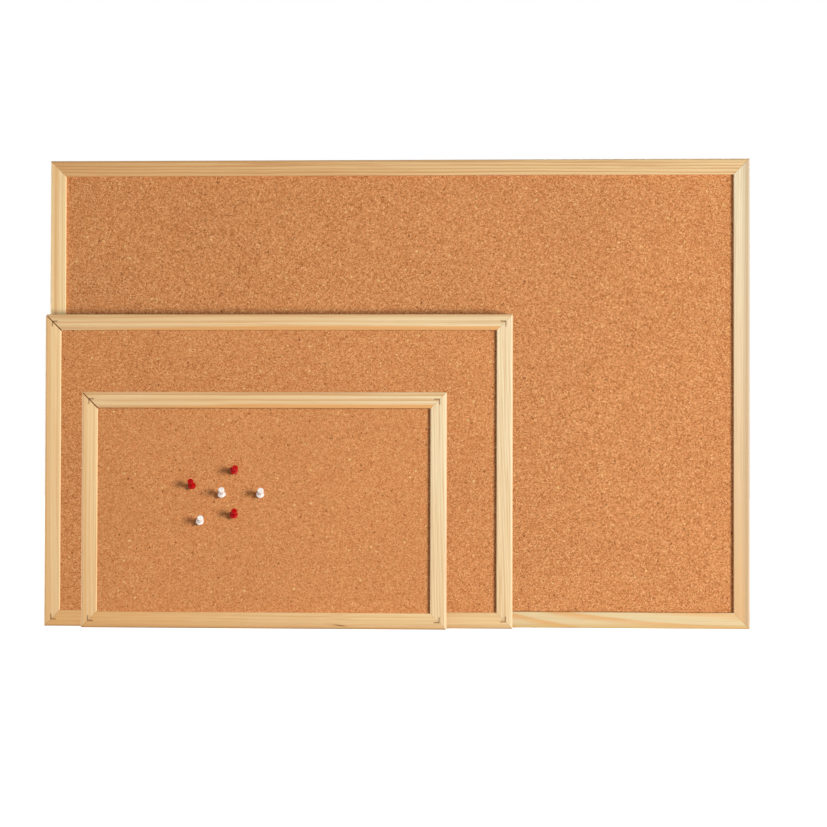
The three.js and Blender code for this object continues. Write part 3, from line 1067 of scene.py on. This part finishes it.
def needle_profile():
    """Outline of the needle, from its point up to its seat in the grip."""
    return [
        (0, -NEEDLE_LENGTH),
        (NEEDLE_POINT_RADIUS, -NEEDLE_LENGTH + NEEDLE_POINT_LENGTH),
        (NEEDLE_RADIUS, -NEEDLE_LENGTH + NEEDLE_TIP),
        (NEEDLE_RADIUS, NEEDLE_SEAT),
        (0, NEEDLE_SEAT),
    ]


def nail_profile(length):
    """Outline of a hanger nail from its tip, with the underside of its domed head at zero."""
    shank = [(0, -length), (NAIL_RADIUS, -length + NAIL_TIP), (NAIL_RADIUS, 0)]
    rise = NAIL_HEAD_THICKNESS * NAIL_DOME_SHARE
    radius = (NAIL_HEAD_RADIUS**2 + rise**2) / (2 * rise)
    start = math.degrees(math.acos(NAIL_HEAD_RADIUS / radius))
    dome = arc(0, NAIL_HEAD_THICKNESS - radius, radius, start, 90, HEAD_STEPS)
    return shank + [(NAIL_HEAD_RADIUS, 0)] + dome[:-1] + [(0, NAIL_HEAD_THICKNESS)]


def pin_matrix(pin, axis):
    """The pin's frame: +Z along its axis, from the middle of the flange's underside."""
    turn = Vector((0, 0, 1)).rotation_difference(axis).to_matrix()
    places = [turn.inverted() @ v.co for v in frame["nodes"][f"{pin}_grip"].data.vertices]
    base = min(p.z for p in places)
    ring = [p for p in places if p.z < base + UNDERSIDE]
    x, y = ((min(p[k] for p in ring) + max(p[k] for p in ring)) / 2 for k in (0, 1))
    return Matrix.Translation(turn @ Vector((x, y, base))) @ turn.to_4x4()


def make_pin(pin, axis):
    matrix = pin_matrix(pin, axis)
    finish = "red_plastic" if pin.startswith("red") else "white_plastic"
    grip_mesh = turned(f"{pin}_grip", grip_profile(), GRIP_STEPS)
    grip = new_piece(f"{pin}_moulded_grip", grip_mesh, matrix, pin, MATERIALS[finish])
    smooth(grip.data, TURNED_SHARP_DEGREES)
    weight_normals(grip)
    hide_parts(f"{pin}_grip")
    needle_mesh = turned(f"{pin}_needle", needle_profile(), NEEDLE_STEPS)
    steel = MATERIALS["zinc_steel"]
    needle = new_piece(f"{pin}_ground_needle", needle_mesh, matrix, pin, steel)
    smooth(needle.data, TURNED_SHARP_DEGREES)
    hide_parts(f"{pin}_needle")


def make_hanger_nail(board, node):
    """A round nail with a low domed head, in the place of its CAD node."""
    low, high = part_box(node)
    length = high.y - low.y - NAIL_HEAD_THICKNESS
    mesh = turned(node, nail_profile(length), NAIL_STEPS)
    centre = middle(node)
    under_head = Matrix.Translation((centre.x, high.y - NAIL_HEAD_THICKNESS, centre.z))
    matrix = under_head @ rotation(-math.pi / 2, "X")
    nail = new_piece(f"{node}_round", mesh, matrix, f"{board}_board", MATERIALS["zinc_steel"])
    smooth(nail.data, TURNED_SHARP_DEGREES)
    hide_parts(node)


def make_eased(board, node, finish, width):
    """A copy of the node's shape with its sharp edges eased, in its place."""
    mesh = frame["nodes"][node].data.copy()
    piece = new_piece(f"{node}_eased", mesh, Matrix(), f"{board}_board", MATERIALS[finish])
    ease_edges(piece, width)
    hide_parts(node)


def dress(node, material):
    mesh = frame["nodes"][node].data
    mesh.materials.clear()
    mesh.materials.append(material)


BOARD_SEEDS = 10  # from the seeds of one board's rails to those of the next


def make_board(board, number):
    for place, side in enumerate(("bottom", "right", "top", "left")):
        make_rail(board, side, BOARD_SEEDS * number + place + 1)
    dress(f"{board}_cork_sheet", cork(f"cork_{board}", number + 1, CORK_CONTRAST[board]))
    dress(f"{board}_backing_board", MATERIALS["fibreboard"])
    for node in sorted(frame["nodes"]):
        if not node.startswith(f"{board}_"):
            continue
        if node.endswith("_v_nail"):
            make_eased(board, node, "dark_steel", V_NAIL_ARRIS)
        elif node.endswith("_hanger"):
            make_eased(board, node, "zinc_steel", HANGER_ARRIS)
        elif "hanger" in node:
            make_hanger_nail(board, node)


for number, board in enumerate(BOARDS):
    make_board(board, number)
for joint in frame["joints"]:
    if joint["name"].endswith("_pull"):
        make_pin(joint["child"], Vector(joint["axis"]))


# Light: the photograph shows each board lit by itself, so each has lamps of its own. The key stands to
# the right, and a weaker lamp at the left side lights the edges that are turned that way. The pins
# have a broader one.
LAMP_DISTANCE = 6.0
KEY_RIGHT = 53  # degrees to the right of the boards' facing direction
KEY_UP = {"large": -8, "mid": 3, "small": 9}
KEY_SIZE = 2.0
KEY_WATTS = 442
PIN_KEY_RIGHT = 42
PIN_KEY_UP = 6
PIN_KEY_SIZE = 4.5
PIN_KEY_WATTS = 415
EDGE_RIGHT = -92
EDGE_SIZE = 2.0
EDGE_WATTS = 240
BACK_TARGET = Vector((0, 0, 0.3))
BACK_RIGHT = 160
BACK_UP = 25
BACK_SIZE = 2.8
BACK_WATTS = 330
SUN_UP = 65
SUN_STRENGTH = 2.5
SUN_ANGLE = 22
FILL = 0.22
FILL_COLOUR = (1.0, 0.94, 0.88, 1)
WHITE = (1, 1, 1, 1)

# The floor, as grey as this where it throws light and where it is seen
FLOOR_HALF_SIZE = 6.0
FLOOR_GREYS = (0.3, 0.8)
FLOOR_GLOW = 0.45


def pieces_of(bodies):
    return [o for o in bpy.data.objects if o.type == "MESH" and o.get("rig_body") in bodies]


def link_to(lamp, pieces, blockers):
    for role, members in (("receiver_collection", pieces), ("blocker_collection", blockers)):
        group = bpy.data.collections.new(f"{lamp.name}_{role}")
        for piece in members:
            group.objects.link(piece)
        setattr(lamp.light_linking, role, group)


def place_lamp(data, target, right, up, pieces, blockers):
    """Puts a lamp to the right of and above its target, turned towards it, so that it lights the pieces
    alone and only the blockers shade them."""
    right = math.radians(right)
    up = math.radians(up)
    away = Vector((math.sin(right) * math.cos(up), -math.cos(right) * math.cos(up), math.sin(up)))
    lamp = bpy.data.objects.new(data.name, data)
    bpy.context.scene.collection.objects.link(lamp)
    lamp.location = target + away * LAMP_DISTANCE
    lamp.rotation_euler = away.to_track_quat("Z", "Y").to_euler()
    link_to(lamp, pieces, blockers)


def soft_lamp(name, target, right, up, size, watts, pieces, blockers):
    data = bpy.data.lights.new(name, "AREA")
    data.shape = "SQUARE"
    data.size = size
    data.energy = watts
    place_lamp(data, target, right, up, pieces, blockers)


def floor_sun(floor, blockers):
    """Light as even far away as near, for the floor alone."""
    data = bpy.data.lights.new("floor_sun", "SUN")
    data.energy = SUN_STRENGTH
    data.angle = math.radians(SUN_ANGLE)
    place_lamp(data, Vector(), 0, SUN_UP, [floor], blockers)


def seen_directly(g):
    """One for camera, glossy and transmission rays, and zero for the rays that light things."""
    path = g.node("LightPath", {}).node.outputs
    bounced = g.math("MAXIMUM", path["Is Glossy Ray"], path["Is Transmission Ray"])
    return g.math("MAXIMUM", path["Is Camera Ray"], bounced)


def floor_material():
    """White where the floor is seen, with its shadows, and darker where it throws light back up."""
    g = Graph("floor")
    seen = seen_directly(g)
    return g.finish(
        Base_Color=g.grey(g.spread(seen, 0.0, 1.0, *FLOOR_GREYS)),
        Roughness=1.0,
        Specular_IOR_Level=0.0,
        Emission_Color=WHITE,
        Emission_Strength=g.math("MULTIPLY", seen, FLOOR_GLOW),
    )


def make_floor():
    shape = bmesh.new()
    bmesh.ops.create_grid(shape, x_segments=1, y_segments=1, size=FLOOR_HALF_SIZE)
    mesh = bpy.data.meshes.new("floor")
    shape.to_mesh(mesh)
    shape.free()
    floor = bpy.data.objects.new("floor", mesh)
    bpy.context.scene.collection.objects.link(floor)
    mesh.materials.append(floor_material())
    return floor


def make_world():
    world = bpy.data.worlds.new("studio")
    bpy.context.scene.world = world
    world.use_nodes = True
    g = Graph("studio", world.node_tree)
    seen = seen_directly(g)
    background = world.node_tree.nodes["Background"]
    g.put(background.inputs["Color"], g.blend(seen, FILL_COLOUR, WHITE))
    g.put(background.inputs["Strength"], g.spread(seen, 0.0, 1.0, FILL, 1.0))


def board_middle(board):
    return sum(board_box(board), Vector()) / 2


def light_boards(lit, pins):
    """The lamps of each board. The large one is also shaded by the middle one in front of it. The small
    one's edge lamp lights the pins too, and they shade its cork."""
    shading = {"large": lit["large"] + lit["mid"], "mid": lit["mid"], "small": lit["small"] + pins}
    edged = {**lit, "small": lit["small"] + pins}
    for board in BOARDS:
        key = (KEY_RIGHT, KEY_UP[board], KEY_SIZE, KEY_WATTS)
        edge = (EDGE_RIGHT, 0, EDGE_SIZE, EDGE_WATTS)
        soft_lamp(f"key_{board}", board_middle(board), *key, lit[board], shading[board])
        soft_lamp(f"edge_{board}", board_middle(board), *edge, edged[board], lit[board])


def light_pins(pins):
    key = (PIN_KEY_RIGHT, PIN_KEY_UP, PIN_KEY_SIZE, PIN_KEY_WATTS)
    soft_lamp("key_pins", board_middle("small"), *key, pins, pins)


def light_backs(pieces):
    soft_lamp("back_lamp", BACK_TARGET, BACK_RIGHT, BACK_UP, BACK_SIZE, BACK_WATTS, pieces, pieces)


def hide_bounces():
    """Keeps the smaller boards' sides and tops from throwing light onto the cork behind them."""
    for board in FRONT_NAILED:
        for side in ("left", "right", "top"):
            bpy.data.objects[f"{board}_{side}_rail_moulding"].visible_diffuse = False


floor = make_floor()
make_world()
hide_bounces()
lit = {board: pieces_of([f"{board}_board"]) for board in BOARDS}
pins = pieces_of([joint["child"] for joint in frame["joints"] if joint["name"].endswith("_pull")])
everything = [piece for board in BOARDS for piece in lit[board]] + pins
light_boards(lit, pins)
light_pins(pins)
light_backs(everything)
floor_sun(floor, everything)

bpy.context.scene.view_settings.view_transform = "Standard"
